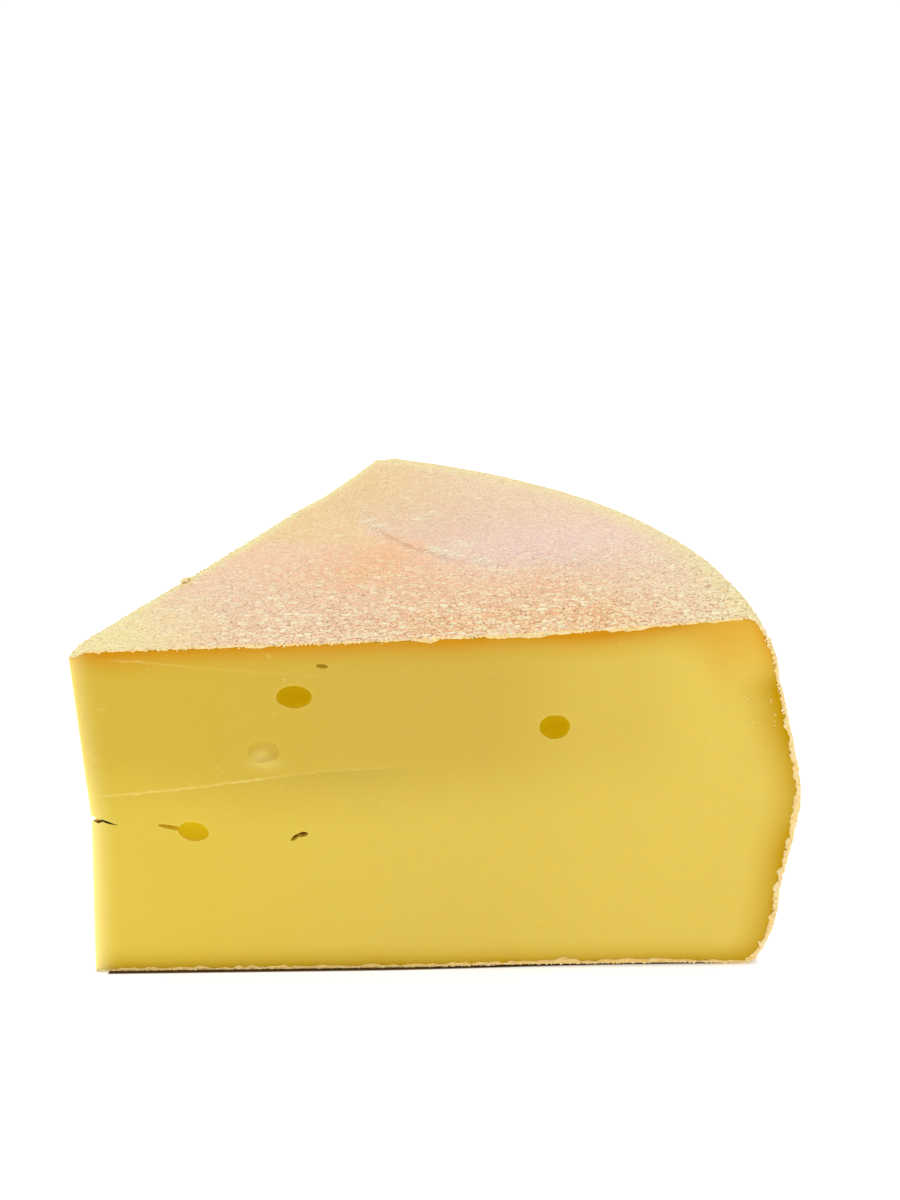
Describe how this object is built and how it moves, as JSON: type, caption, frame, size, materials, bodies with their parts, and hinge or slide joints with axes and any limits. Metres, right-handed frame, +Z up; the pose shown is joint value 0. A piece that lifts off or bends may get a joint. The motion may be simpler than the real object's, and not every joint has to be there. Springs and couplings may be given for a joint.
{
  "type": "cheese wedge",
  "caption": "Wedge of washed-rind mountain cheese with a thin pale rind, a few small eyes and a short crack at its tip, lying on its flat base.",
  "frame": {"origin": "middle of the wedge's bounding box, on the level of its flat base", "axes": "+Z up, as the wheel lies; the front cut face is a plane of constant Y that faces -Y; +X runs along that face from the tip to the heel"},
  "size_m": [0.1579, 0.1436, 0.0844],
  "materials": {
    "paste": "smooth, slightly waxy cut cheese",
    "rind": "dry, grainy washed rind"
  },
  "bodies": {
    "root": {"cheese_wedge": "paste"}
  },
  "joints": []
}
